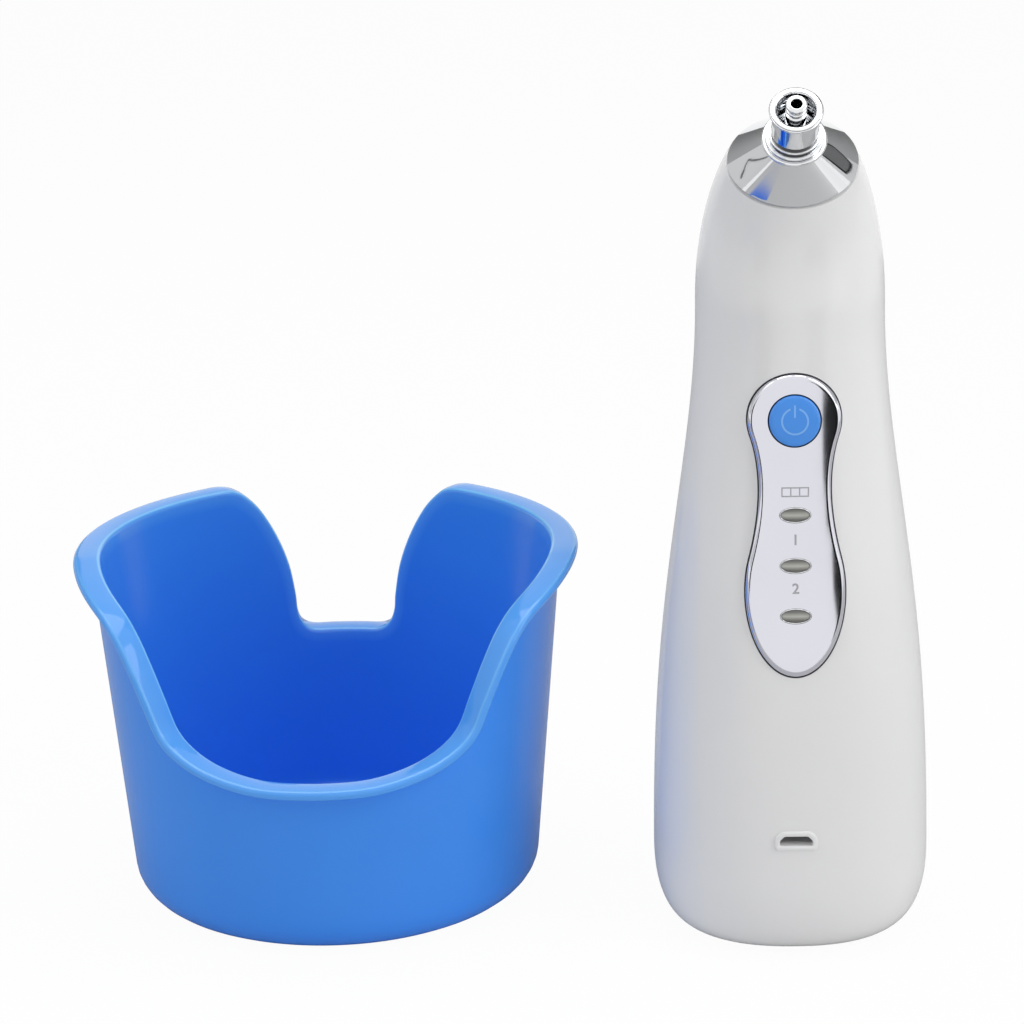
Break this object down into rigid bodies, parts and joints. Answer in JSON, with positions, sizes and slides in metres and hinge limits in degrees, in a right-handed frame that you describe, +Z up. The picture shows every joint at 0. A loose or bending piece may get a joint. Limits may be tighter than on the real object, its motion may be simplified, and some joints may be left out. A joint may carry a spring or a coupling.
{
  "type": "pore vacuum with holder cup",
  "caption": "Hand-held suction tool with a flared white housing, an oblique chrome nose with a tip socket, a front button panel and a separate open-fronted blue holder cup",
  "frame": {"origin": "Centre of the underside of the handset's base pad, on the surface that the handset and the cup stand on", "axes": "+Z up the upright handset, -Y out of its front with the button panel, +X to the right seen from the front; the cup stands on the -X side"},
  "size_m": [0.1889, 0.1062, 0.1889],
  "materials": {
    "white_plastic": "gloss",
    "chrome": "polished",
    "panel_mirror": "polished",
    "blue_button": "satin",
    "blue_cup": "gloss",
    "lens": "gloss",
    "rubber": "matte",
    "silicone": "satin",
    "foam": "matte",
    "steel": "satin",
    "board": "satin",
    "black_plastic": "matte",
    "grey_plastic": "matte",
    "cell_wrap": "satin"
  },
  "bodies": {
    "handset": {"front_shell": "white_plastic", "rear_shell": "white_plastic", "base_pad": "rubber", "nose_cone": "chrome", "nozzle_collar": "chrome", "nozzle_tube": "chrome", "nozzle_seal": "rubber", "filter_cup": "grey_plastic", "filter_disc": "foam", "suction_hose": "silicone", "control_panel": "panel_mirror", "tact_switch": "steel", "lens_upper": "lens", "lens_middle": "lens", "lens_lower": "lens", "led_upper": "silicone", "led_middle": "silicone", "led_lower": "silicone", "main_board": "board", "board_screw_1": "steel", "board_screw_2": "steel", "usb_socket": "steel", "usb_board": "board", "chassis": "black_plastic", "battery_cell": "cell_wrap", "pump_motor": "steel", "pump_housing": "black_plastic", "wobble_plate": "grey_plastic", "diaphragm": "rubber", "valve_plate": "grey_plastic", "pump_cap": "black_plastic", "case_screw_1": "steel", "case_screw_2": "steel", "case_screw_3": "steel", "case_screw_4": "steel"},
    "button": {"power_button": "blue_button", "switch_plunger": "black_plastic"},
    "rotor": {"motor_shaft": "steel", "eccentric": "black_plastic"},
    "holder": {"holder_cup": "blue_cup"}
  },
  "joints": [
    {"name": "power_button_press", "type": "slide", "parent": "handset", "child": "button", "axis": [0, 0.9936, -0.1129], "range_m": [0, 0.0006], "stiffness_N_per_m": 1200},
    {"name": "motor_spin", "type": "hinge", "parent": "handset", "child": "rotor", "pos_m": [0, 0.00267, 0.1092], "axis": [0, 0, 1], "continuous": true},
    {"name": "holder_lift", "type": "slide", "parent": "handset", "child": "holder", "axis": [0, 0, 1], "range_m": [0, 0.12]}
  ]
}
